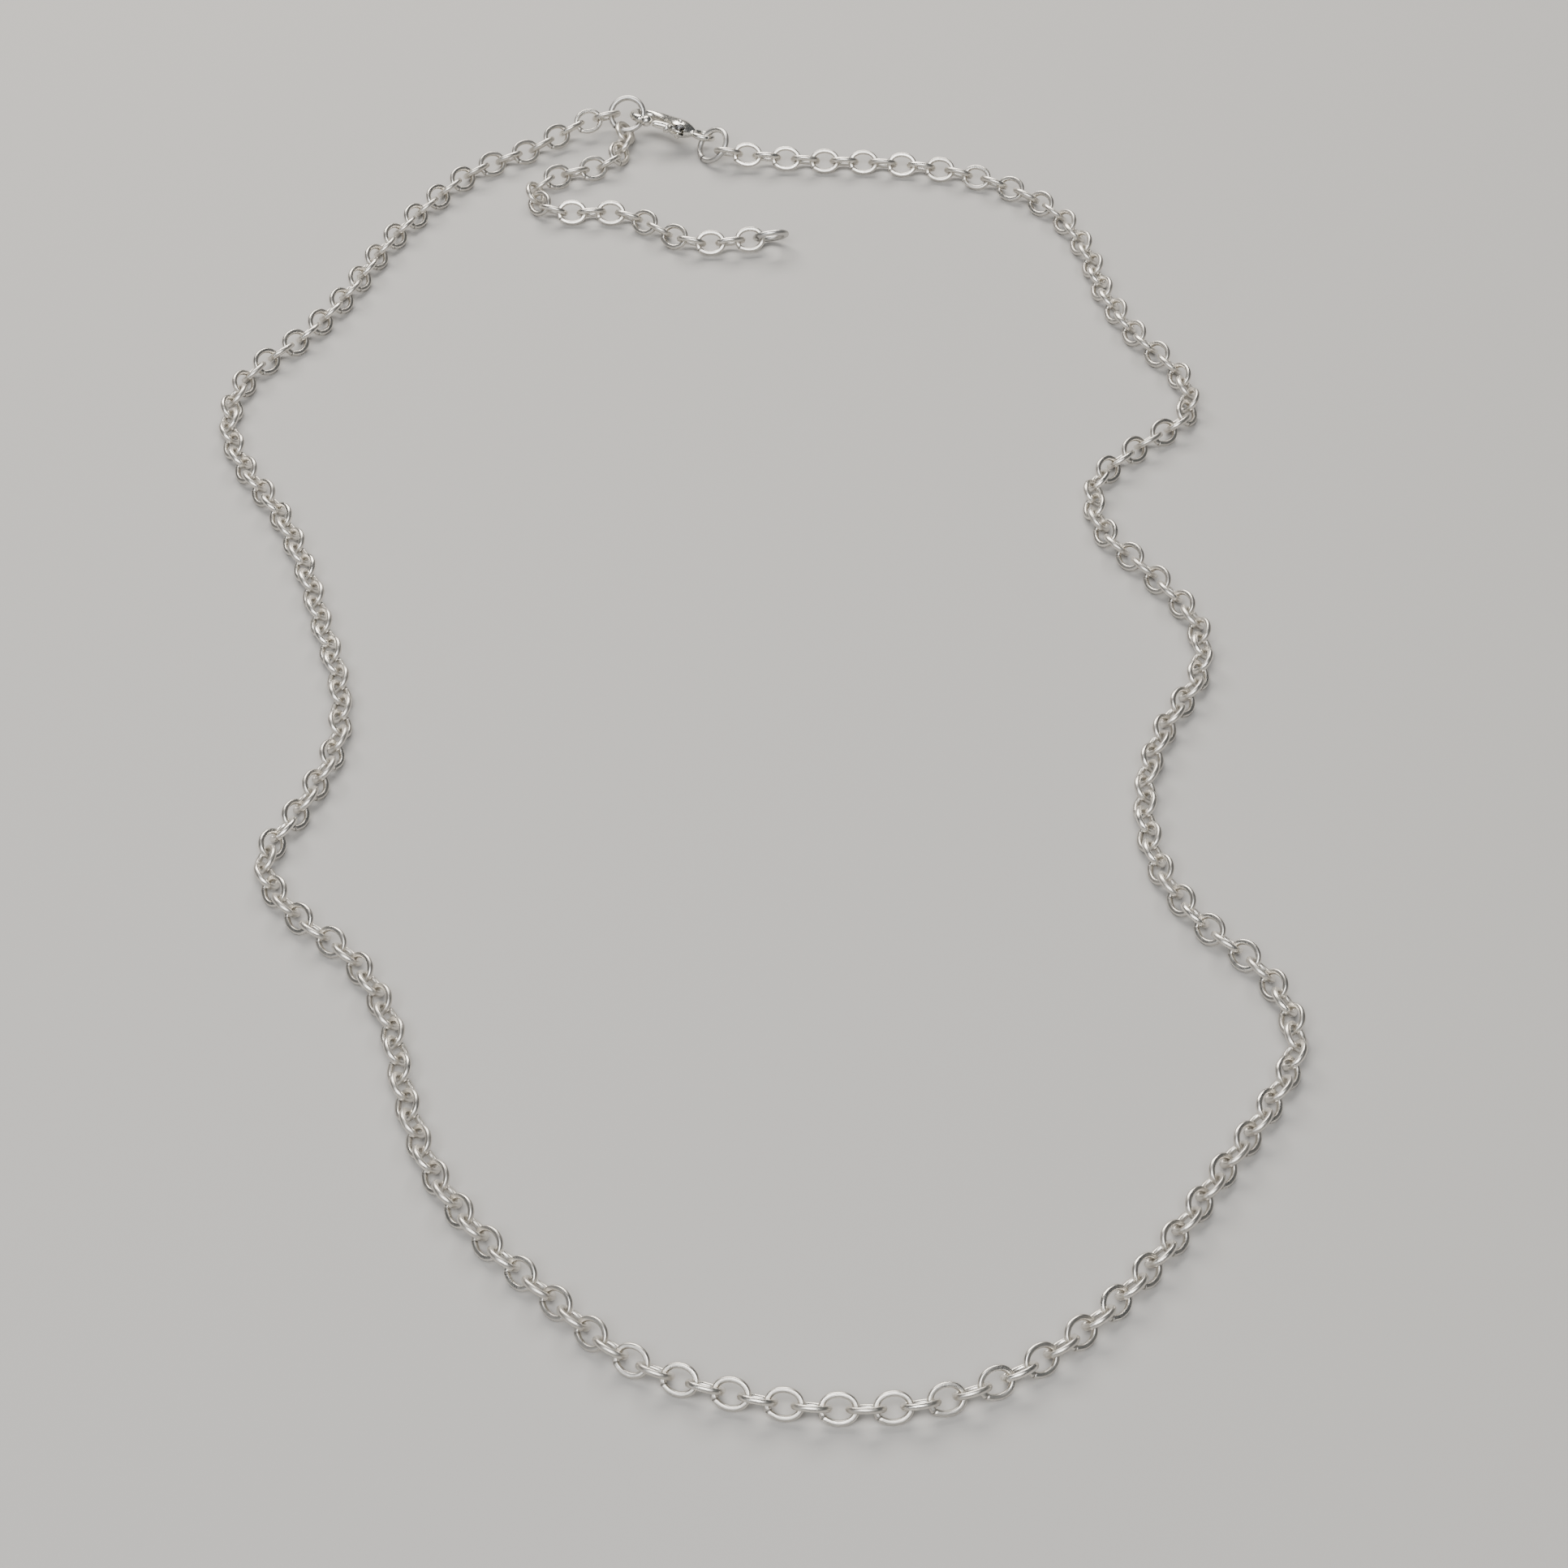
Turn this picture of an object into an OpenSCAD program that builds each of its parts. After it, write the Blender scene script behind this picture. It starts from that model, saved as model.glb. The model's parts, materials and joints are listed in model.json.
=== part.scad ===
// Chain necklace: a closed loop of oval cable links, a lobster clasp, two jump rings
// and an extender tail with an end ring, lying on the plane z = 0.
// +Z is up, +Y points to the clasp, and the origin is below the middle of the loop.

/* [Chain links] */
// Length of a link over its two bends
link_len = 3.5; // [3.48:0.01:3.54]
// Width of a link
link_w = 3; // [2.9:0.02:3.1]
// Thickness of the link wire
wire_d = 0.58; // [0.54:0.01:0.6]
// Turn of a link about the chain, one way and then the other
link_roll = 45; // [42:1:48]

/* [Jump rings] */
// Outer diameter of a jump ring
ring_od = 4.6; // [4.5:0.05:4.7]
// Thickness of the ring wire
ring_wire = 0.7; // [0.65:0.05:0.8]
// Outer diameter of the ring that ends the extender
end_ring_od = 4.2; // [4:0.05:4.6]
// Angle left open where a jump ring's two ends meet
ring_slit = 2; // [1:1:6]
// Turn of a jump ring out of the flat
ring_roll = 45; // [42:1:48]

/* [Lobster clasp] */
// Thickness of the curved hook
hook_d = 1.3; // [1.2:0.05:1.4]
// Radius of the hook's bend at its middle
hook_r = 1.85; // [1.8:0.05:1.9]
// Distance from the eye to the middle of the hook's bend
hook_reach = 7.1; // [7:0.05:7.2]
// Thickness of the clasp body
body_t = 2.2; // [2:0.1:2.4]
// Radius of the eye at the middle of its wire
eye_r = 1.2; // [1.15:0.01:1.25]
// Thickness of the wire of the eye
eye_wire = 0.7; // [0.6:0.05:0.75]
// Diameter of the trigger's pivot pin
pin_d = 0.6; // [0.5:0.05:0.7]
// Width of the slot that holds the trigger
slot_w = 1.1; // [1.05:0.01:1.15]
// Clearance of a running fit, on the radius
fit = 0.04; // [0.03:0.01:0.06]

/* [Hidden] */
$fn = 32;

// How the links are shared out: each number is the first link of a stretch
NECK_CUTS = [
    0, 3, 9, 15, 19, 21, 27, 28, 32, 42, 46, 47, 53, 58, 64, 69, 74, 80, 84, 85, 91, 98, 104,
    108, 114, 116, 120, 126, 132, 134, 140, 144, 148, 154, 158, 165, 170, 173, 177, 181, 185,
    188, 194, 195, 201, 204, 210
];
TAIL_CUTS = [0, 2, 6, 12, 17];
NECK_LINKS = 215;
TAIL_LINKS = 22;

// The line through the middle of the neck chain, from the clasp's jump ring
// down the right side, round the front and up the left side
NECK_ROUTE = [
    [-0.65, 89.75], [4, 89], [11, 88.5], [18.5, 88], [26, 86.5], [33, 83], [38.5, 77.5],
    [41.5, 70], [43, 62], [46, 54], [50.5, 46], [50.5, 39], [45, 33.5], [40, 27],
    [40.5, 19], [45, 12], [49, 4], [48.5, -4], [44.5, -12], [42, -21], [42.5, -31],
    [46, -39], [51.5, -46], [53.5, -54.5], [50, -63], [45, -71], [40, -79], [34, -86.5],
    [27, -92.5], [19, -96], [10, -96.5], [1, -94.5], [-6.5, -91], [-13, -84.5],
    [-19, -78], [-24, -70], [-27, -61], [-29, -52], [-33, -44], [-39, -38],
    [-42.5, -31], [-39.5, -23], [-37, -14], [-37.5, -5], [-40, 4], [-42.5, 13],
    [-46, 22], [-50.5, 30], [-53, 38], [-51.5, 46.5], [-46, 54], [-42, 62],
    [-39, 70], [-35, 78], [-29.5, 86], [-22.5, 91], [-17, 95.5], [-13, 96.85]
];
// The line through the middle of the extender tail, from the closure ring to the end ring
TAIL_ROUTE = [
    [-11.8, 95.7], [-12, 92.8], [-12.3, 90.2], [-13.6, 88], [-16, 86.6], [-19, 85.5],
    [-21.4, 83.6], [-22, 80.8], [-20.4, 78.5], [-17.4, 77.7], [-14, 77.9], [-10.6, 77],
    [-7.6, 74.6], [-4.6, 72.2], [-1.2, 71.4], [4.2, 72.2]
];
CURVE_STEPS = 12;

// Height of the chain's middle where it lies on the table, and how far its two ends
// and the tail's first link are lifted by the rings
bend_r = (link_w - wire_d) / 2;
lying_z = bend_r * sin(link_roll) + wire_d / 2;
LIFT_LINKS = 5;
start_lift = 0.55;
end_lift = 1.05;
tail_lift = -0.1;
tail_end_lift = 0.3;

// Jump rings and the clasp
ring_r = (ring_od - ring_wire) / 2;
end_ring_r = (end_ring_od - ring_wire) / 2;
slack = 0.12;
eye_at = [-2.6, 92.9, 1.74];
clasp_yaw = 156;
clasp_roll = 24;
closure_z = 2.4;

function smooth(a, b, c, d, t) =
    0.5 * (2 * b + (c - a) * t + (2 * a - 5 * b + 4 * c - d) * t * t
    + (3 * b - 3 * c + d - a) * t * t * t);
function curve(route) = [
    for (i = [0:len(route) - 2], k = [0:CURVE_STEPS - 1])
        smooth(route[max(i - 1, 0)], route[i], route[i + 1],
            route[min(i + 2, len(route) - 1)], k / CURVE_STEPS),
    route[len(route) - 1]
];
function run_of(points) = [
    for (i = 0, s = 0; i < len(points); i = i + 1,
        s = s + (i < len(points) ? norm(points[i] - points[i - 1]) : 0)) s
];
// The places where each link hands over to the next, equally spaced along a route
function joints_on(route, count) =
    let (points = curve(route), run = run_of(points), last = run[len(run) - 1],
        xs = [for (i = [0:len(run) - 1]) [run[i], points[i].x]],
        ys = [for (i = [0:len(run) - 1]) [run[i], points[i].y]])
    [for (i = [0:count]) [lookup(last * i / count, xs), lookup(last * i / count, ys)]];
function lift(steps, height) = height * max(0, 1 - steps / LIFT_LINKS);
function raised(flat, first, last) = [
    for (i = [0:len(flat) - 1])
        [flat[i].x, flat[i].y, lying_z + lift(i, first) + lift(len(flat) - 1 - i, last)]
];
NECK_JOINTS = raised(joints_on(NECK_ROUTE, NECK_LINKS), start_lift, end_lift);
TAIL_JOINTS = raised(joints_on(TAIL_ROUTE, TAIL_LINKS), tail_lift, tail_end_lift);

function heading(from, to) = atan2(to.y - from.y, to.x - from.x);
function along(yaw, distance) = [distance * cos(yaw), distance * sin(yaw), 0];
function two_digits(n) = n < 10 ? str("0", n) : str(n);
function names(stem, count) = [for (i = [1:count]) str(stem, two_digits(i))];

// The clasp ring hangs between the eye and the first link of the neck chain
eye_to_ring = eye_r - (eye_wire + ring_wire) / 2 - slack + ring_r;
first_yaw = heading(eye_at, NECK_JOINTS[0]);
clasp_ring_at = eye_at + along(first_yaw, eye_to_ring);

// The closure ring hangs between the hook and the last link of the neck chain
eye_to_hooked = hook_reach + hook_r - (hook_d + ring_wire) / 2 - slack;
clasp_pitch = asin((closure_z - eye_at.z) / eye_to_hooked);
hooked_at = eye_at + along(clasp_yaw, eye_to_hooked);
last_yaw = heading(NECK_JOINTS[NECK_LINKS], hooked_at);
closure_flat = hooked_at - along(last_yaw, ring_r);
closure_ring_at = [closure_flat.x, closure_flat.y, closure_z];

// The end ring hangs on the last link of the extender tail
link_reach = (link_len - wire_d) / 2;
tail_yaw = heading(TAIL_JOINTS[TAIL_LINKS - 1], TAIL_JOINTS[TAIL_LINKS]);
last_tail_middle = (TAIL_JOINTS[TAIL_LINKS - 1] + TAIL_JOINTS[TAIL_LINKS]) / 2;
end_ring_flat = last_tail_middle
    + along(tail_yaw, link_reach - (wire_d + ring_wire) / 2 - slack + end_ring_r);
end_ring_at = [end_ring_flat.x, end_ring_flat.y, end_ring_r * sin(ring_roll) + ring_wire / 2];

// Lobster clasp, seen from above with the eye at the origin and the hook along +X
back_r = 9;
back_angle = 30;
nose_angle = 105;
nose_proud = 0.1;
blend_proud = 0.02;
shoulder_r = 1.6;
shoulder_at = [2.9, 0.1, 0];
pivot_at = [2.9, 0.6, 0];
boss_r = 0.75;
boss_low = -0.5;
boss_high = 0.1;
arm_d = 0.95;
arm_from = [3.2, 0.95, 0];
arm_to = [5.3, 1.7, 0];
tab_from = [3.9, 1.3, 0];
tab_to = [3.7, 2.6, 0];
tab_d = 0.8;
slot_size = [3, 4, slot_w];
slot_low = [2.05, -0.22];
pin_grip = 0.01;
spring_wire = 0.14;
spring_r = 0.44;
spring_leg = 0.77;
spring_pitch = 0.126;
spring_gap = 0.02;

NECK_NAMES = names("neck_chain_", len(NECK_CUTS));
TAIL_NAMES = names("extender_chain_", len(TAIL_CUTS));

module arc(radius, wire, angle) {
    rotate_extrude(angle = angle)
        translate([radius, 0])
            circle(d = wire);
}

module rod(from, to, wire) {
    run = to - from;
    translate(from)
        rotate([0, acos(run.z / norm(run)), atan2(run.y, run.x)])
            cylinder(d = wire, h = norm(run));
}

// One oval link in the XY plane, its length along X
module link() {
    half_straight = (link_len - link_w) / 2;
    for (side = [-1, 1]) {
        translate([side * half_straight, 0, 0])
            rotate([0, 0, -90 * side])
                arc(bend_r, wire_d, 180);
        rod([-half_straight, side * bend_r, 0], [half_straight, side * bend_r, 0], wire_d);
    }
}

module link_between(from, to, roll) {
    run = to - from;
    translate((from + to) / 2)
        rotate([0, -atan2(run.z, norm([run.x, run.y])), atan2(run.y, run.x)])
            rotate([roll, 0, 0])
                link();
}

// The links of one stretch of chain, from its first link up to the next stretch
module stretch(joints, cuts, index, turn) {
    last = index + 1 < len(cuts) ? cuts[index + 1] : len(joints) - 1;
    for (i = [cuts[index]:last - 1])
        link_between(joints[i], joints[i + 1], i % 2 == 0 ? -turn : turn);
}

module neck_chain(index) {
    color("silver")
        stretch(NECK_JOINTS, NECK_CUTS, index, link_roll);
}

module extender_chain(index) {
    color("silver")
        stretch(TAIL_JOINTS, TAIL_CUTS, index, link_roll);
}

module jump_ring(radius, slit_at) {
    rotate([0, 0, slit_at])
        arc(radius, ring_wire, 360 - ring_slit);
}

module closure_ring() {
    color("lightgray")
        translate(closure_ring_at)
            rotate([0, 0, last_yaw])
                rotate([ring_roll, 0, 0])
                    jump_ring(ring_r, 60);
}

module clasp_ring() {
    color("lightgray")
        translate(clasp_ring_at)
            rotate([0, 0, first_yaw])
                rotate([ring_roll, 0, 0])
                    jump_ring(ring_r, 90);
}

module end_ring() {
    color("lightgray")
        translate(end_ring_at)
            rotate([0, 0, tail_yaw])
                rotate([-ring_roll, 0, 0])
                    jump_ring(end_ring_r, 30);
}

// Puts a piece of the clasp where the closed clasp lies
module on_clasp() {
    translate(eye_at)
        rotate([0, -clasp_pitch, clasp_yaw])
            rotate([clasp_roll, 0, 0])
                children();
}

module eye() {
    rotate_extrude()
        translate([eye_r, 0])
            circle(d = eye_wire);
}

// The curved back that runs from the shoulder into the hook and ends in the nose
module hook() {
    translate([hook_reach, back_r - hook_r, 0])
        rotate([0, 0, -90 - back_angle])
            arc(back_r, hook_d, back_angle);
    translate([hook_reach, 0, 0])
        rotate([0, 0, -90])
            arc(hook_r, hook_d, 90 + nose_angle);
    translate([hook_reach, -hook_r, 0])
        sphere(d = hook_d + blend_proud);
    translate([hook_reach, 0, 0] + along(nose_angle, hook_r))
        sphere(d = hook_d + nose_proud);
}

module clasp_body() {
    color("gainsboro")
        on_clasp()
            difference() {
                union() {
                    eye();
                    hook();
                    translate(shoulder_at - [0, 0, body_t / 2])
                        cylinder(r = shoulder_r, h = body_t);
                }
                translate([slot_low.x, slot_low.y, -slot_w / 2])
                    cube(slot_size);
                translate(pivot_at - [0, 0, body_t])
                    cylinder(d = pin_d + 2 * pin_grip, h = 2 * body_t);
            }
}

module clasp_trigger() {
    color("gainsboro")
        on_clasp()
            difference() {
                union() {
                    translate(pivot_at + [0, 0, boss_low])
                        cylinder(r = boss_r, h = boss_high - boss_low);
                    rod(arm_from, arm_to, arm_d);
                    translate(arm_to)
                        sphere(d = arm_d);
                    rod(tab_from, tab_to, tab_d);
                    translate(tab_to)
                        sphere(d = tab_d);
                }
                translate(pivot_at - [0, 0, slot_w])
                    cylinder(d = pin_d + 2 * fit, h = 2 * slot_w);
                translate(pivot_at + [0, 0, boss_high])
                    cylinder(r = spring_r + spring_wire, h = slot_w);
            }
}

module trigger_pin() {
    color("silver")
        on_clasp()
            translate(pivot_at - [0, 0, body_t / 2])
                cylinder(d = pin_d, h = body_t);
}

// A small spring of two turns round the pin, its leg against the end of the slot
module trigger_spring() {
    color("dimgray")
        on_clasp()
            translate(pivot_at + [0, 0, boss_high + spring_gap + spring_wire / 2]) {
                for (turn = [0, 1])
                    translate([0, 0, turn * spring_pitch])
                        rotate_extrude()
                            translate([spring_r, 0])
                                circle(d = spring_wire);
                rod([0, spring_r, 0], [-spring_leg, spring_r, 0], spring_wire);
            }
}

for (i = [0:len(NECK_CUTS) - 1])
    neck_chain(i);
for (i = [0:len(TAIL_CUTS) - 1])
    extender_chain(i);
closure_ring();
clasp_ring();
end_ring();
clasp_body();
clasp_trigger();
trigger_pin();
trigger_spring();
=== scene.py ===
"""Chain necklace: the looks of its links, rings and lobster clasp."""

import json
import math

import bmesh
import bpy
import numpy as np
from mathutils import Matrix, Vector


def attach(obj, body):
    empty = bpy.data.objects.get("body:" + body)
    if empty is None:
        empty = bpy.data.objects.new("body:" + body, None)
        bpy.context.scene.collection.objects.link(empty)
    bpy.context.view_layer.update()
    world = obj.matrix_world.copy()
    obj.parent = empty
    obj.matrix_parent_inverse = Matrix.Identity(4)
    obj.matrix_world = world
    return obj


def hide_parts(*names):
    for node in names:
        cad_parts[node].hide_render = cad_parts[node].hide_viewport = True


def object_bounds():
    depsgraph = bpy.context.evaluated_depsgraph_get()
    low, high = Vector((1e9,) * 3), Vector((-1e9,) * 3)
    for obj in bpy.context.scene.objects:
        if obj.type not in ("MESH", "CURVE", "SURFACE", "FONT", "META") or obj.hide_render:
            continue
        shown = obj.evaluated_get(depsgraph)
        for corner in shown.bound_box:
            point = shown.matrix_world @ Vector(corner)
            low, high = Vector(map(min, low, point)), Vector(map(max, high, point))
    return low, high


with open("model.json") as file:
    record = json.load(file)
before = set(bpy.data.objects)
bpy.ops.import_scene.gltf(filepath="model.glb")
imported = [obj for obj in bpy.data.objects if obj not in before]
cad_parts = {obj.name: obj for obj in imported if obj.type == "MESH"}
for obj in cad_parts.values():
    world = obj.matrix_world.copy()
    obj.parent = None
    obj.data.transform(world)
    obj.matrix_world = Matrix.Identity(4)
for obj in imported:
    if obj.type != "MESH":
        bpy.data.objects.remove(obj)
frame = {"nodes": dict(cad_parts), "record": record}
CAD_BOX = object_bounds()
MM = 0.001

# Sizes of the real pieces, in metres
LINK_LENGTH = 3.56 * MM
LINK_WIDTH = 2.98 * MM
LINK_WIRE = 0.60 * MM
LINK_THICKNESS = 0.54 * MM
SEAM_ANGLE = 217.0


def colour(r, g, b):
    return (r, g, b, 1.0)


# ---------------------------------------------------------------- node helpers

# Places of a Mix node's colour sockets
MIX_FACTOR, MIX_A, MIX_B, MIX_RESULT = 0, 6, 7, 2


def new_group(name, inputs, outputs):
    """An empty shader group with its sockets; inputs are (name, kind, default)."""
    group = bpy.data.node_groups.new(name, "ShaderNodeTree")
    for label, kind, default in inputs:
        socket = group.interface.new_socket(
            name=label, in_out="INPUT", socket_type="NodeSocket" + kind
        )
        if default is not None:
            socket.default_value = default
    for label, kind in outputs:
        group.interface.new_socket(
            name=label, in_out="OUTPUT", socket_type="NodeSocket" + kind
        )
    return (
        group,
        group.nodes.new("NodeGroupInput").outputs,
        group.nodes.new("NodeGroupOutput").inputs,
    )


def node(tree, kind, values=None, **settings):
    """A shader node; a value is either a constant or another node's output."""
    made = tree.nodes.new("ShaderNode" + kind)
    for key, value in settings.items():
        setattr(made, key, value)
    for key, value in (values or {}).items():
        if isinstance(value, bpy.types.NodeSocket):
            tree.links.new(value, made.inputs[key])
        else:
            made.inputs[key].default_value = value
    return made


def math_of(tree, operation, a, b=0.0, clamp=False):
    return node(
        tree, "Math", {0: a, 1: b}, operation=operation, use_clamp=clamp
    ).outputs[0]


def remap(tree, value, low, high, to_low=0.0, to_high=1.0):
    values = {0: value, 1: low, 2: high, 3: to_low, 4: to_high}
    return node(tree, "MapRange", values, interpolation_type="SMOOTHSTEP").outputs[0]


def mix_colour(tree, factor, a, b):
    """Colour a where the factor is 0 and colour b where it is 1."""
    values = {MIX_FACTOR: factor, MIX_A: a, MIX_B: b}
    return node(tree, "Mix", values, data_type="RGBA").outputs[MIX_RESULT]


# ---------------------------------------------------------------- shared effects


def fine_scratches():
    """Hair-fine marks that cross each other every way, as tumbling leaves on steel."""
    group, inputs, outputs = new_group(
        "fine_scratches",
        [("Place", "Vector", None), ("Per metre", "Float", 9000.0)],
        [("Marks", "Float")],
    )
    marks = None
    for turn in ((0.3, 0.9, 0.2), (1.4, 0.2, 1.1), (0.7, 2.0, 2.4)):
        turned = node(
            group,
            "Mapping",
            {"Vector": inputs["Place"], "Rotation": turn, "Scale": (1.0, 0.09, 1.0)},
        )
        noise = node(
            group,
            "TexNoise",
            {"Vector": turned.outputs[0], "Scale": inputs["Per metre"], "Detail": 2.0},
        )
        lines = remap(group, noise.outputs[0], 0.60, 0.70)
        marks = lines if marks is None else math_of(group, "MAXIMUM", marks, lines)
    group.links.new(marks, outputs["Marks"])
    return group


def handled_steel(scratches):
    """Satin steel rubbed by skin and cloth: soft patches, mottle and scratches."""
    group, inputs, outputs = new_group(
        "handled_steel",
        [
            ("Place", "Vector", None),
            ("Bright", "Color", colour(0.8, 0.8, 0.8)),
            ("Dull", "Color", colour(0.6, 0.6, 0.6)),
            ("Smooth roughness", "Float", 0.2),
            ("Dull roughness", "Float", 0.4),
            ("Tone", "Float", 0.5),
            ("Relief", "Float", 0.2),
        ],
        [("Color", "Color"), ("Roughness", "Float"), ("Normal", "Vector")],
    )
    place = inputs["Place"]
    patches = node(
        group, "TexNoise", {"Vector": place, "Scale": 320.0, "Detail": 3.0}
    ).outputs[0]
    mottle = node(
        group, "TexNoise", {"Vector": place, "Scale": 2600.0, "Detail": 4.0}
    ).outputs[0]
    marks = node(group, "Group", node_tree=scratches)
    group.links.new(place, marks.inputs["Place"])
    rubbed = remap(group, patches, 0.35, 0.65, 0.0, 0.5)
    speckled = remap(group, mottle, 0.3, 0.7, 0.0, 0.5)
    toned = math_of(group, "MULTIPLY", inputs["Tone"], 0.5)
    worn = math_of(group, "ADD", rubbed, speckled)
    worn = math_of(group, "ADD", worn, toned, True)
    base = mix_colour(group, worn, inputs["Bright"], inputs["Dull"])
    marked = math_of(group, "MULTIPLY", marks.outputs[0], 0.35)
    group.links.new(
        mix_colour(group, marked, base, inputs["Dull"]), outputs["Color"]
    )
    span = math_of(
        group, "SUBTRACT", inputs["Dull roughness"], inputs["Smooth roughness"]
    )
    rough = math_of(group, "MULTIPLY", worn, span)
    rough = math_of(group, "ADD", rough, inputs["Smooth roughness"])
    scratched = math_of(group, "MULTIPLY", marks.outputs[0], 0.12)
    rough = math_of(group, "ADD", rough, scratched, True)
    group.links.new(rough, outputs["Roughness"])
    groove = math_of(group, "MULTIPLY", marks.outputs[0], 0.4)
    height = math_of(group, "SUBTRACT", mottle, groove)
    bump = node(
        group,
        "Bump",
        {"Height": height, "Strength": inputs["Relief"], "Distance": 0.02 * MM},
    )
    group.links.new(bump.outputs[0], outputs["Normal"])
    return group


HANDLED = handled_steel(fine_scratches())


def steel(name, bright, dull, smooth, rough, relief, grime, tone_from=None):
    """One steel finish. The piece's "grime" attribute darkens its seams."""
    material = bpy.data.materials.new(name)
    material.use_nodes = True
    material.diffuse_color = bright
    tree = material.node_tree
    shader = tree.nodes["Principled BSDF"]
    shader.inputs["Metallic"].default_value = 1.0
    place = node(tree, "TexCoord").outputs["Object"]
    finish = node(tree, "Group", node_tree=HANDLED)
    values = {
        "Bright": bright,
        "Dull": dull,
        "Smooth roughness": smooth,
        "Dull roughness": rough,
        "Relief": relief,
    }
    for key, value in values.items():
        finish.inputs[key].default_value = value
    tree.links.new(place, finish.inputs["Place"])
    if tone_from:
        tone = node(tree, "Attribute", attribute_name=tone_from).outputs["Fac"]
        tree.links.new(tone, finish.inputs["Tone"])
    dirty = node(tree, "Attribute", attribute_name="grime").outputs["Fac"]
    shown = mix_colour(tree, dirty, finish.outputs["Color"], grime)
    tree.links.new(shown, shader.inputs["Base Color"])
    dulled = math_of(tree, "MULTIPLY", dirty, 0.3)
    tree.links.new(
        math_of(tree, "ADD", finish.outputs["Roughness"], dulled, True),
        shader.inputs["Roughness"],
    )
    tree.links.new(finish.outputs["Normal"], shader.inputs["Normal"])
    return material


CHAIN_STEEL = steel(
    "chain_steel",
    colour(0.86, 0.83, 0.77),
    colour(0.66, 0.63, 0.58),
    0.22,
    0.36,
    0.25,
    colour(0.07, 0.065, 0.06),
    "tone",
)
RING_STEEL = steel(
    "ring_steel",
    colour(0.74, 0.72, 0.69),
    colour(0.55, 0.54, 0.52),
    0.24,
    0.40,
    0.3,
    colour(0.07, 0.065, 0.06),
)
CLASP_STEEL = steel(
    "clasp_steel",
    colour(0.88, 0.86, 0.81),
    colour(0.70, 0.68, 0.63),
    0.14,
    0.28,
    0.2,
    colour(0.10, 0.095, 0.09),
)
SPRING_STEEL = steel(
    "spring_steel",
    colour(0.42, 0.42, 0.44),
    colour(0.30, 0.30, 0.32),
    0.25,
    0.42,
    0.2,
    colour(0.05, 0.05, 0.05),
)

# ---------------------------------------------------------------- mesh helpers

SAME_POINT = 0.0005 * MM


def add_piece(name, bm, material, smooth=True):
    """A finished bmesh as an object at the origin."""
    mesh = bpy.data.meshes.new(name)
    bm.to_mesh(mesh)
    bm.free()
    mesh.materials.append(material)
    if smooth:
        mesh.polygons.foreach_set("use_smooth", [True] * len(mesh.polygons))
    made = bpy.data.objects.new(name, mesh)
    bpy.context.scene.collection.objects.link(made)
    return made


def subdivide(piece, levels):
    modifier = piece.modifiers.new("rounding", "SUBSURF")
    modifier.levels = levels
    modifier.render_levels = levels
    return piece


def apply_modifiers(piece):
    """The piece keeps the shape that its modifiers give it, and loses them."""
    graph = bpy.context.evaluated_depsgraph_get()
    made = bpy.data.meshes.new_from_object(piece.evaluated_get(graph))
    old = piece.data
    piece.modifiers.clear()
    piece.data = made
    made.name = old.name
    bpy.data.meshes.remove(old)
    return piece


def section(bm, radius, width, thickness, sides, turned=0.0):
    """A closed ring of edges across a wire that will be spun about Z."""
    verts = bmesh.ops.create_circle(bm, segments=sides, radius=0.5)["verts"]
    turn = Matrix.Rotation(math.radians(turned), 3, "Z")
    bmesh.ops.rotate(bm, verts=verts, cent=(0, 0, 0), matrix=turn)
    stand = Matrix.Rotation(math.radians(90), 3, "X")
    bmesh.ops.rotate(bm, verts=verts, cent=(0, 0, 0), matrix=stand)
    bmesh.ops.scale(bm, verts=verts, vec=(width, 1, thickness))
    bmesh.ops.translate(bm, verts=verts, vec=(radius, 0, 0))
    return verts, list({e for v in verts for e in v.link_edges})


def only(kind, geometry):
    return [g for g in geometry if isinstance(g, kind)]


def solids_of(node_name):
    """The separate solids of a CAD node, each as an array of its corners."""
    bm = bmesh.new()
    bm.from_mesh(frame["nodes"][node_name].data)
    bmesh.ops.remove_doubles(bm, verts=bm.verts, dist=SAME_POINT)
    seen, found = set(), []
    for start in bm.verts:
        if start in seen:
            continue
        seen.add(start)
        island, to_visit = [start], [start]
        while to_visit:
            v = to_visit.pop()
            for e in v.link_edges:
                other = e.other_vert(v)
                if other not in seen:
                    seen.add(other)
                    island.append(other)
                    to_visit.append(other)
        found.append(np.array([v.co for v in island], float))
    bm.free()
    return found


def lie_of(corners):
    """Where an oval lies: its length is X, its width is Y (upwards) and its face is Z."""
    _, axes = np.linalg.eigh(np.cov((corners - corners.mean(0)).T))
    length, width = Vector(axes[:, 2]), Vector(axes[:, 1])
    if length.x < 0:
        length.negate()
    if width.z < 0:
        width.negate()
    face = length.cross(width)
    turn = np.array([length, width, face])
    local = corners @ turn.T
    middle = Vector(((local.min(0) + local.max(0)) / 2) @ turn)
    axes_as_matrix = Matrix([length, width, face]).transposed().to_4x4()
    return Matrix.Translation(middle) @ axes_as_matrix


# ---------------------------------------------------------------- chain links

LINK_SIDES = 6
LINK_STEPS = 12
SEAM_WIDTH = 9.0
SEAM_DEPTH = 0.90
SEAM_GRIME = 0.85
# The rounding shrinks a coarse cage, so the cage starts larger than the link
CAGE_WIRE = 1.18
CAGE_RING = 1.045
FLAT_CREASE = 0.45
FLAT_HEIGHT = 0.4
SEAM_CREASE = 0.7
OVAL_POWER = 0.7


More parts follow.
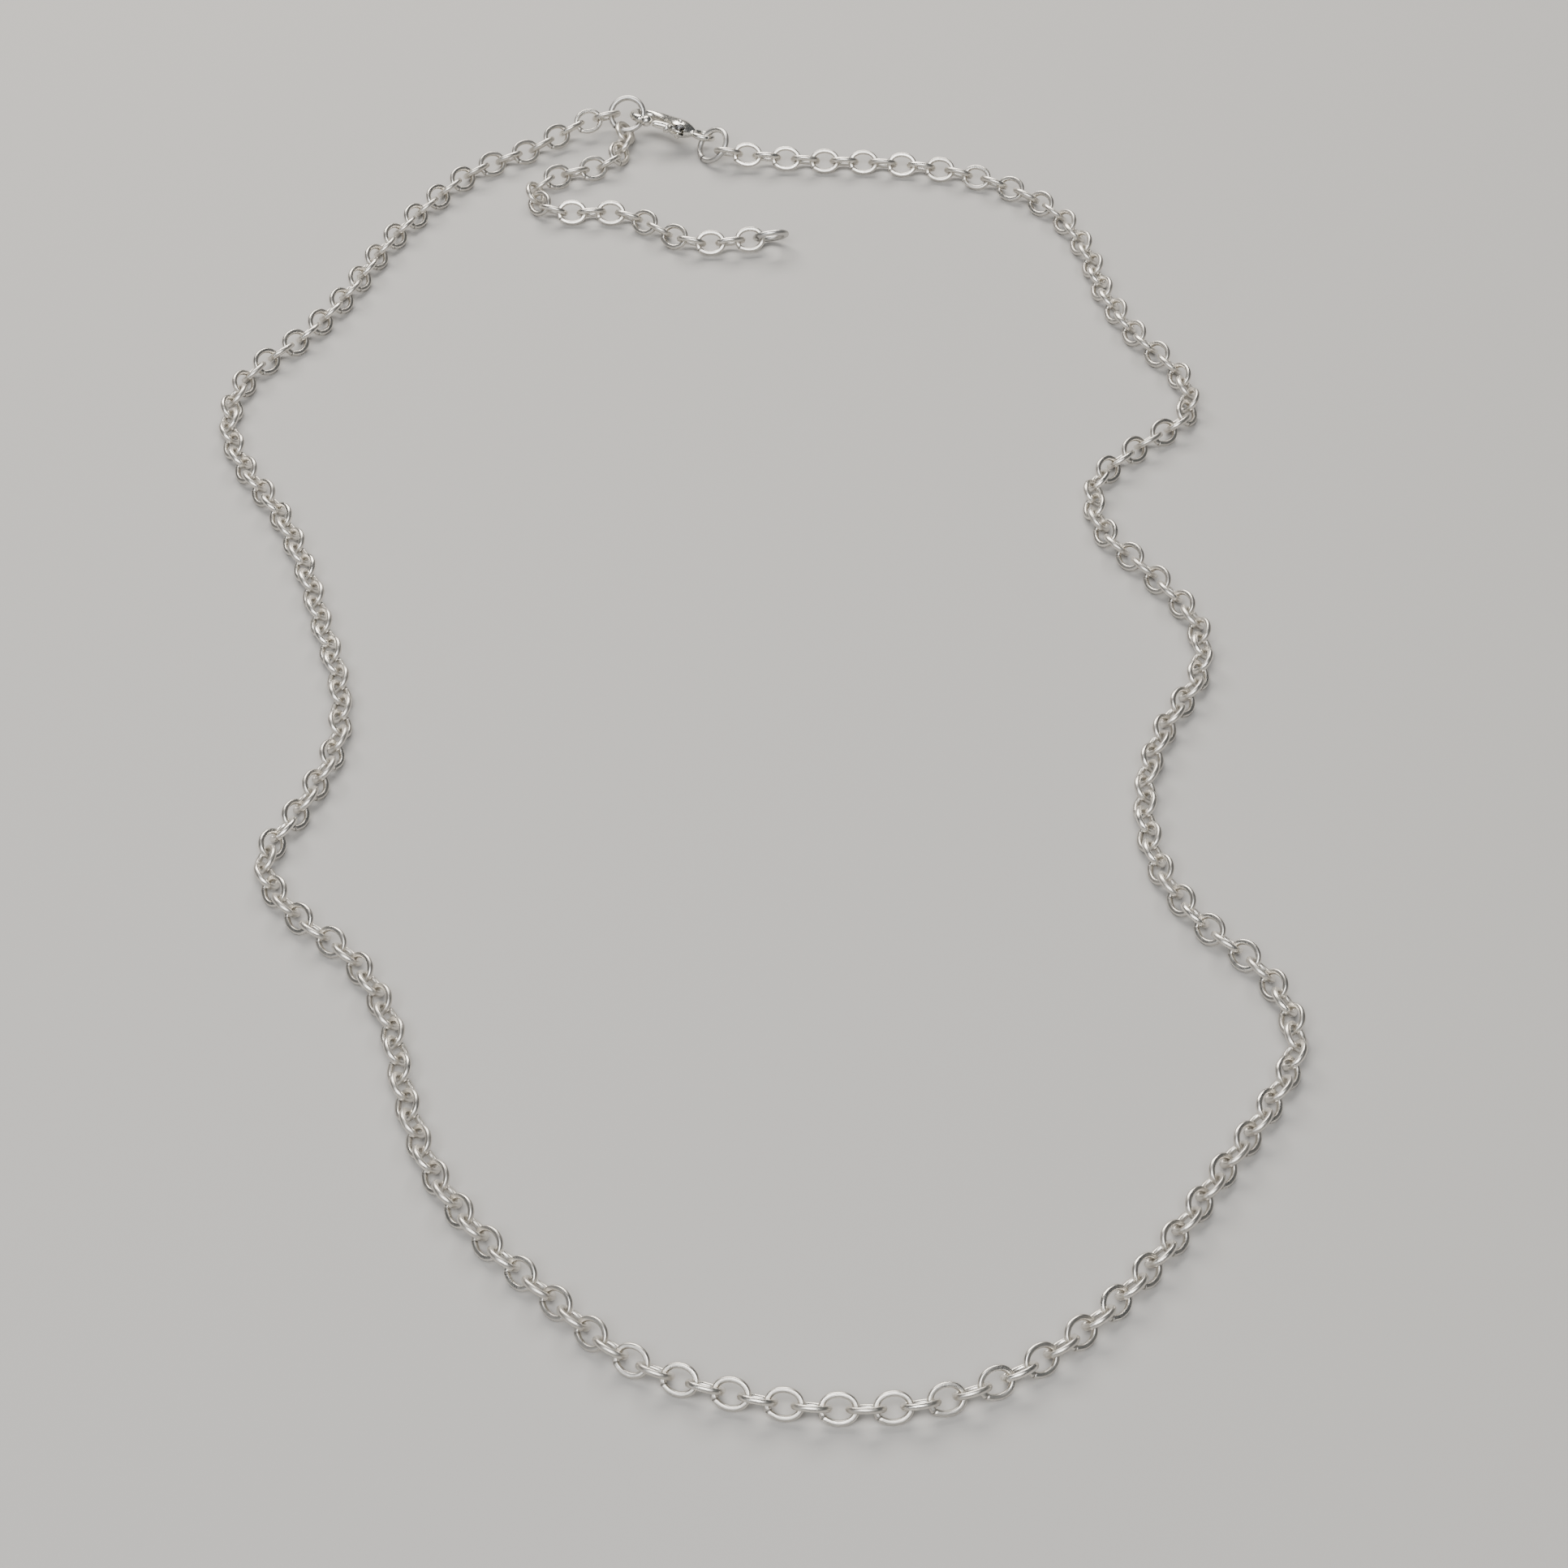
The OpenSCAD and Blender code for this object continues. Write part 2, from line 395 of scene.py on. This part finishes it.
def link_shape():
    """One link of flattened wire, its butted and soldered ends at the lower left."""
    bm = bmesh.new()
    crease = bm.edges.layers.float.new("crease_edge")
    grime = bm.verts.layers.float.new("grime")
    radius = (LINK_WIDTH - LINK_WIRE) / 2
    verts, first = section(
        bm,
        radius * CAGE_RING,
        LINK_WIRE * CAGE_WIRE,
        LINK_THICKNESS * CAGE_WIRE,
        LINK_SIDES,
        180.0 / LINK_SIDES,
    )
    centre, up = (0, 0, 0), (0, 0, 1)
    start = Matrix.Rotation(math.radians(SEAM_ANGLE + SEAM_WIDTH / 2), 3, "Z")
    bmesh.ops.rotate(bm, verts=verts, cent=centre, matrix=start)
    spun = bmesh.ops.spin(
        bm,
        geom=verts + first,
        cent=centre,
        axis=up,
        angle=math.radians(360.0 - SEAM_WIDTH),
        steps=LINK_STEPS,
    )
    last = only(bmesh.types.BMEdge, spun["geom_last"])
    groove = bmesh.ops.extrude_edge_only(bm, edges=last)["geom"]
    groove_verts = only(bmesh.types.BMVert, groove)
    half = Matrix.Rotation(math.radians(SEAM_WIDTH / 2), 3, "Z")
    bmesh.ops.rotate(bm, verts=groove_verts, cent=centre, matrix=half)
    middle = sum((v.co for v in groove_verts), Vector()) / len(groove_verts)
    bmesh.ops.scale(
        bm,
        verts=groove_verts,
        vec=(SEAM_DEPTH,) * 3,
        space=Matrix.Translation(-middle),
    )
    groove_edges = [
        e
        for e in only(bmesh.types.BMEdge, groove)
        if all(v in groove_verts for v in e.verts)
    ]
    bmesh.ops.bridge_loops(bm, edges=groove_edges + first)
    for e in first + last + groove_edges:
        e[crease] = SEAM_CREASE
    for v in groove_verts:
        v[grime] = SEAM_GRIME
    flat = LINK_THICKNESS * CAGE_WIRE * FLAT_HEIGHT
    for e in bm.edges:
        a, b = (v.co for v in e.verts)
        on_one_face = abs(a.z) > flat and a.z * b.z > 0
        along_wire = abs(a.xy.length - b.xy.length) < 0.05 * MM
        if e[crease] == 0.0 and on_one_face and along_wire:
            e[crease] = FLAT_CREASE
    shift = (LINK_LENGTH - LINK_WIDTH) / 2
    for v in bm.verts:
        cosine = v.co.x / v.co.xy.length
        v.co.x += math.copysign(shift * abs(cosine) ** OVAL_POWER, cosine)
    bmesh.ops.recalc_face_normals(bm, faces=bm.faces)
    mesh = bpy.data.meshes.new("link_shape")
    bm.to_mesh(mesh)
    bm.free()
    return mesh


LINK_SHAPE = link_shape()
SHARE = np.random.default_rng(7)


def chain_piece(node_name):
    """The refined links of one stretch, each where its plain link lies."""
    bm = bmesh.new()
    tone = bm.verts.layers.float.new("tone")
    for corners in solids_of(node_name):
        before = len(bm.verts)
        bm.from_mesh(LINK_SHAPE)
        bm.verts.ensure_lookup_table()
        added = bm.verts[before:]
        bmesh.ops.transform(bm, matrix=lie_of(corners), verts=added)
        shade = float(SHARE.uniform(0.0, 1.0))
        for v in added:
            v[tone] = shade
    piece = add_piece(node_name + "_links", bm, CHAIN_STEEL)
    subdivide(piece, 2)
    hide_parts(node_name)
    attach(piece, BODY_OF[node_name])
    return piece


BODY_OF = {
    name: body
    for body, names in frame["record"]["behaviour"]["bodies"].items()
    for name in names
}
for chain_name in sorted(n for n in frame["nodes"] if "_chain_" in n):
    chain_piece(chain_name)

# ---------------------------------------------------------------- jump rings

RING_WIRE = 0.68 * MM
RING_STEPS = 48
RING_SIDES = 16
RING_SLIT = 2.4
RING_GRIME = 0.8
END_ROUND = 0.05 * MM


def ring_piece(node_name):
    """A jump ring bent from round wire, its two cut ends rounded a little and butted."""
    corners = solids_of(node_name)[0]
    middle = (corners.min(0) + corners.max(0)) / 2
    _, axes = np.linalg.eigh(np.cov((corners - middle).T))
    face = Vector(axes[:, 0])
    arms = corners - middle
    flat = arms - np.outer(arms @ np.array(face), np.array(face))
    radius = float(np.linalg.norm(flat, axis=1).max()) - RING_WIRE / 2
    away = Vector(slit_of(corners, face))
    place = Matrix([away, face.cross(away), face]).transposed().to_4x4()
    bm = bmesh.new()
    grime = bm.verts.layers.float.new("grime")
    verts, edges = section(bm, radius, RING_WIRE, RING_WIRE, RING_SIDES)
    cap = bmesh.ops.contextual_create(bm, geom=edges)["faces"]
    turn = Matrix.Rotation(math.radians(RING_SLIT / 2), 3, "Z")
    bmesh.ops.rotate(bm, verts=verts, cent=(0, 0, 0), matrix=turn)
    bmesh.ops.spin(
        bm,
        geom=verts + edges + cap,
        cent=(0, 0, 0),
        axis=(0, 0, 1),
        angle=math.radians(360.0 - RING_SLIT),
        steps=RING_STEPS,
    )
    end_faces = [f for f in bm.faces if len(f.verts) == RING_SIDES]
    rims = list({e for f in end_faces for e in f.edges})
    for f in end_faces:
        for v in f.verts:
            v[grime] = RING_GRIME
    bmesh.ops.bevel(
        bm,
        geom=rims,
        offset=END_ROUND,
        segments=2,
        profile=0.5,
        affect="EDGES",
        material=-1,
    )
    bmesh.ops.recalc_face_normals(bm, faces=bm.faces)
    seat = Matrix.Translation(Vector(middle)) @ place
    bmesh.ops.transform(bm, matrix=seat, verts=bm.verts)
    piece = add_piece(node_name + "_wire", bm, RING_STEEL)
    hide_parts(node_name)
    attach(piece, BODY_OF[node_name])
    return piece


def slit_of(corners, face):
    """Direction of the drawn slit: away from where the CAD ring's corners gather.

    The CAD ring's own slit is where they gather, so it is on the opposite side.
    """
    middle = (corners.min(0) + corners.max(0)) / 2
    pull = middle - corners.mean(0)
    pull -= np.array(face) * float(pull @ np.array(face))
    return Vector(pull).normalized()


for ring_name in ("closure_ring", "clasp_ring", "end_ring"):
    ring_piece(ring_name)


# ---------------------------------------------------------------- lobster clasp

# The clasp's own frame: the eye at the middle, the hook along +X, the trigger's side +Y
CLASP_EYE = Vector((-2.6, 92.9, 1.74)) * MM
CLASP_YAW, CLASP_RISE, CLASP_ROLL = 156.0, 4.836, 24.0
ON_CLASP = (
    Matrix.Translation(CLASP_EYE)
    @ Matrix.Rotation(math.radians(CLASP_YAW), 4, "Z")
    @ Matrix.Rotation(math.radians(-CLASP_RISE), 4, "Y")
    @ Matrix.Rotation(math.radians(CLASP_ROLL), 4, "X")
)
PIVOT = Vector((2.9, 0.6, 0.0)) * MM
HOOK_MIDDLE = Vector((7.1, 0.0, 0.0)) * MM
HOOK_RADIUS = 1.85 * MM
EYE_RADIUS = 1.2 * MM
EYE_WIRE = 0.7 * MM
EYE_CAGE = 1.03
# The rounding shrinks an eight-sided section, so its cage starts larger
SWEEP_SIDES = 8
SWEEP_CAGE = 1.06
NOSE_ANGLE = 103.0
NOSE_RADIUS = 0.68 * MM
BODY_VOXEL, BODY_SMOOTHING = 0.05 * MM, 6
LEVER_VOXEL, LEVER_SMOOTHING = 0.04 * MM, 4
# Radii in mm, each drilled or turned about the pivot
PIN_HOLE, LEVER_HOLE, LEVER_BOSS, SPRING_SEAT = 0.31, 0.34, 0.78, 0.6
HOLE_DEPTH = 4.0
SLOT = ((2.05, -0.24, -0.55), (5.4, 4.0, 0.55))


def swept(stations):
    """A casting drawn along a line of stations.

    A station is (x, y, heading, width, thickness), in mm and degrees.
    """
    bm = bmesh.new()
    ring = bmesh.ops.create_circle(bm, cap_ends=True, segments=SWEEP_SIDES, radius=0.5)
    verts, undo = ring["verts"], None
    stand = Matrix.Rotation(math.radians(90), 3, "Y")
    bmesh.ops.rotate(bm, verts=verts, cent=(0, 0, 0), matrix=stand)
    face = verts[0].link_faces[0]
    for x, y, heading, width, thickness in stations:
        if undo:
            face = bmesh.ops.extrude_discrete_faces(bm, faces=[face])["faces"][0]
            verts = list(face.verts)
            bmesh.ops.transform(bm, matrix=undo, verts=verts)
        across, deep = width * SWEEP_CAGE * MM, thickness * SWEEP_CAGE * MM
        place = (
            Matrix.Translation(Vector((x, y, 0)) * MM)
            @ Matrix.Rotation(math.radians(heading), 4, "Z")
            @ Matrix.Diagonal((1.0, across, deep, 1.0))
        )
        bmesh.ops.transform(bm, matrix=place, verts=verts)
        undo = place.inverted()
    return outward(bm)


def outward(bm):
    """Closes any open end of one shape and turns its faces outwards."""
    open_edges = [edge for edge in bm.edges if edge.is_boundary]
    bmesh.ops.holes_fill(bm, edges=open_edges, sides=0)
    bmesh.ops.recalc_face_normals(bm, faces=bm.faces)
    if bm.calc_volume(signed=True) < 0:
        bmesh.ops.reverse_faces(bm, faces=bm.faces)
    return bm


def spun_ring(radius, wire, steps=24, sides=10):
    """A plain closed ring of round wire in the clasp's plane."""
    bm = bmesh.new()
    verts, edges = section(bm, radius, wire, wire, sides)
    bmesh.ops.spin(
        bm,
        geom=verts + edges,
        cent=(0, 0, 0),
        axis=(0, 0, 1),
        angle=math.tau,
        steps=steps,
        use_merge=True,
    )
    return outward(bm)


def drum(radius, depth, middle, segments=32):
    """A short round bar along the pin."""
    bm = bmesh.new()
    bmesh.ops.create_cone(
        bm,
        cap_ends=True,
        segments=segments,
        radius1=radius * MM,
        radius2=radius * MM,
        depth=depth * MM,
    )
    bmesh.ops.translate(bm, verts=bm.verts, vec=middle)
    return bm


def box_cutter(low, high):
    bm = bmesh.new()
    bmesh.ops.create_cube(bm, size=1.0)
    low, high = Vector(low) * MM, Vector(high) * MM
    bmesh.ops.scale(bm, verts=bm.verts, vec=high - low)
    bmesh.ops.translate(bm, verts=bm.verts, vec=(low + high) / 2)
    return bm


def cast(name, shapes, voxel, smoothing):
    """Melts overlapping closed shapes into one casting with soft fillets."""
    bm = bmesh.new()
    for shape in shapes:
        part = bpy.data.meshes.new("shape")
        shape.to_mesh(part)
        shape.free()
        bm.from_mesh(part)
        bpy.data.meshes.remove(part)
    piece = subdivide(add_piece(name, bm, CLASP_STEEL), 2)
    remesh = piece.modifiers.new("melt", "REMESH")
    remesh.mode = "VOXEL"
    remesh.voxel_size = voxel
    remesh.use_smooth_shade = True
    soften = piece.modifiers.new("soften", "SMOOTH")
    soften.factor = 0.5
    soften.iterations = smoothing
    return apply_modifiers(piece)


def cut(piece, bm):
    """Takes a closed shape away from a piece."""
    cutter = add_piece(piece.name + "_cutter", bm, CLASP_STEEL, smooth=False)
    away = piece.modifiers.new("cut", "BOOLEAN")
    away.object = cutter
    away.operation = "DIFFERENCE"
    away.solver = "EXACT"
    apply_modifiers(piece)
    bpy.data.objects.remove(cutter)
    return piece


BODY_STATIONS = [
    (0.95, 0.0, 0, 0.9, 0.8),
    (1.45, 0.0, 0, 1.7, 1.35),
    (2.0, 0.03, -2, 2.55, 1.95),
    (2.7, 0.05, -6, 3.15, 2.3),
    (3.4, -0.08, -14, 2.95, 2.3),
    (4.1, -0.5, -18, 2.3, 2.1),
    (4.9, -1.0, -16, 1.75, 1.85),
    (5.8, -1.46, -12, 1.42, 1.55),
    (6.7, -1.74, -5, 1.28, 1.38),
]


def hook_stations():
    """The round end of the hook, thinning towards its ball nose."""
    made = []
    for angle, width in (
        (-80, 1.24),
        (-55, 1.22),
        (-30, 1.20),
        (-5, 1.18),
        (20, 1.16),
        (45, 1.13),
        (68, 1.1),
        (88, 1.08),
    ):
        a = math.radians(angle)
        x = HOOK_MIDDLE.x / MM + HOOK_RADIUS / MM * math.cos(a)
        y = HOOK_RADIUS / MM * math.sin(a)
        made.append((x, y, angle + 90, width, width))
    return made


def nose():
    """The ball that the trigger's arm shuts against."""
    a = math.radians(NOSE_ANGLE)
    at = HOOK_MIDDLE + Vector((math.cos(a), math.sin(a), 0)) * HOOK_RADIUS
    bm = bmesh.new()
    bmesh.ops.create_uvsphere(bm, u_segments=20, v_segments=12, radius=NOSE_RADIUS)
    bmesh.ops.translate(bm, verts=bm.verts, vec=at)
    return bm


def clasp_body_piece():
    """Eye, shoulder, back, hook and nose in one casting, with the trigger's slot."""
    shapes = [
        swept(BODY_STATIONS + hook_stations()),
        nose(),
        spun_ring(EYE_RADIUS, EYE_WIRE * EYE_CAGE),
    ]
    piece = cast("clasp_body_casting", shapes, BODY_VOXEL, BODY_SMOOTHING)
    cut(piece, box_cutter(*SLOT))
    return cut(piece, drum(PIN_HOLE, HOLE_DEPTH, PIVOT))


ARM_STATIONS = [
    (2.95, 0.74, 22, 1.0, 0.60),
    (3.4, 0.98, 22, 1.12, 0.84),
    (4.1, 1.26, 20, 1.06, 0.98),
    (4.8, 1.52, 18, 1.0, 0.98),
    (5.58, 1.74, 10, 0.96, 0.94),
    (5.92, 1.79, 8, 0.62, 0.62),
]
TAB_STATIONS = [
    (3.92, 1.1, 98, 1.05, 0.75),
    (3.84, 1.7, 97, 0.84, 0.92),
    (3.76, 2.3, 97, 0.8, 1.04),
    (3.7, 2.75, 97, 0.78, 1.04),
    (3.66, 3.02, 97, 0.55, 0.75),
]


def trigger_piece():
    """The lever: a round boss on the pin, an arm to the nose and a thumb tab."""
    shapes = [
        swept(ARM_STATIONS),
        swept(TAB_STATIONS),
        drum(LEVER_BOSS, 0.62, PIVOT + Vector((0, 0, -0.2)) * MM, 24),
    ]
    piece = cast("clasp_trigger_lever", shapes, LEVER_VOXEL, LEVER_SMOOTHING)
    cut(piece, drum(LEVER_HOLE, HOLE_DEPTH, PIVOT))
    return cut(piece, drum(SPRING_SEAT, 0.9, PIVOT + Vector((0, 0, 0.555)) * MM))


def pin_piece():
    """The rivet, its two heads peened a little proud of the cheeks."""
    bm = drum(0.3, 2.3, (0, 0, 0))
    rims = [
        e for e in bm.edges if abs(e.verts[0].co.z - e.verts[1].co.z) < 0.01 * MM
    ]
    bmesh.ops.bevel(
        bm,
        geom=rims,
        offset=0.12 * MM,
        segments=4,
        profile=0.5,
        affect="EDGES",
        material=-1,
    )
    bmesh.ops.translate(bm, verts=bm.verts, vec=PIVOT)
    return add_piece("trigger_pin_rivet", bm, CLASP_STEEL)


def spring_piece():
    """Two and a quarter turns of spring wire round the pin, with a leg along the slot."""
    bm = bmesh.new()
    wire, coil, height, leg_length = 0.13 * MM, 0.44 * MM, 0.27 * MM, 0.74 * MM
    turns, steps = 2.25, 60
    verts, edges = section(bm, coil, wire, wire, 8)
    cap = bmesh.ops.contextual_create(bm, geom=edges)["faces"]
    spun = bmesh.ops.spin(
        bm,
        geom=verts + edges + cap,
        cent=(0, 0, 0),
        axis=(0, 0, 1),
        dvec=(0, 0, height / steps),
        angle=math.tau * turns,
        steps=steps,
    )
    end = only(bmesh.types.BMFace, spun["geom_last"])
    leg = bmesh.ops.extrude_discrete_faces(bm, faces=end)["faces"]
    leg_verts = list({v for f in leg for v in f.verts})
    bmesh.ops.translate(bm, verts=leg_verts, vec=(-leg_length, 0, 0))
    bmesh.ops.recalc_face_normals(bm, faces=bm.faces)
    low = PIVOT + Vector((0, 0, 0.195)) * MM
    bmesh.ops.translate(bm, verts=bm.verts, vec=low)
    return add_piece("trigger_spring_coil", bm, SPRING_STEEL)


for made, cad_name, slot in (
    (clasp_body_piece(), "clasp_body", "clasp_steel"),
    (trigger_piece(), "clasp_trigger", "clasp_steel"),
    (pin_piece(), "trigger_pin", "clasp_steel"),
    (spring_piece(), "trigger_spring", "spring_steel"),
):
    made.data.transform(ON_CLASP)
    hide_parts(cad_name)
    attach(made, BODY_OF[cad_name])


# ---------------------------------------------------------------- floor, light, camera

FLOOR_GAP = 0.05 * MM
FLOOR = bpy.data.materials.new("pale_floor")
FLOOR.use_nodes = True
FLOOR_SHADER = FLOOR.node_tree.nodes["Principled BSDF"]
FLOOR_SHADER.inputs["Base Color"].default_value = colour(0.42, 0.41, 0.395)
FLOOR_SHADER.inputs["Roughness"].default_value = 0.75
bm = bmesh.new()
bmesh.ops.create_grid(bm, x_segments=1, y_segments=1, size=2.0)
bmesh.ops.translate(bm, verts=bm.verts, vec=(0, 0, CAD_BOX[0][2] - FLOOR_GAP))
floor = add_piece("floor", bm, FLOOR, smooth=False)

AIM = Vector((7.0, -20.0, 1.15)) * MM


def softbox(name, place, size, power, tint=(1.0, 1.0, 1.0)):
    """A rectangular studio light that faces the middle of the necklace."""
    data = bpy.data.lights.new(name, "AREA")
    data.shape = "RECTANGLE"
    data.size, data.size_y = size
    data.energy = power
    data.color = tint
    lamp = bpy.data.objects.new(name, data)
    bpy.context.scene.collection.objects.link(lamp)
    lamp.location = place
    lamp.rotation_mode = "QUATERNION"
    lamp.rotation_quaternion = (AIM - Vector(place)).to_track_quat("-Z", "Y")


softbox("key_softbox", (-0.10, 0.42, 0.44), (0.60, 0.30), 6.0, (1.0, 0.96, 0.90))
softbox("front_softbox", (-0.06, -0.42, 0.58), (0.60, 0.42), 6.0)
softbox("front_fill", (-0.50, -0.45, 0.30), (0.20, 0.20), 0.4, (0.95, 0.97, 1.0))

WORLD = bpy.data.worlds.new("studio")
WORLD.use_nodes = True
WORLD_LIGHT = WORLD.node_tree.nodes["Background"].inputs
WORLD_LIGHT["Color"].default_value = colour(0.9, 0.95, 1.0)
WORLD_LIGHT["Strength"].default_value = 0.10
bpy.context.scene.world = WORLD

CAMERA_RISE = math.radians(42.5)
CAMERA_DISTANCE = 0.381
lens = bpy.data.cameras.new("camera")
lens.lens = 90.0
lens.sensor_width = 36.0
lens.clip_start = 0.01
lens.clip_end = 20.0
camera = bpy.data.objects.new("camera", lens)
bpy.context.scene.collection.objects.link(camera)
back = Vector((0.0, -math.cos(CAMERA_RISE), math.sin(CAMERA_RISE)))
camera.location = AIM + back * CAMERA_DISTANCE
camera.rotation_mode = "QUATERNION"
camera.rotation_quaternion = (-back).to_track_quat("-Z", "Y")
bpy.context.scene.camera = camera
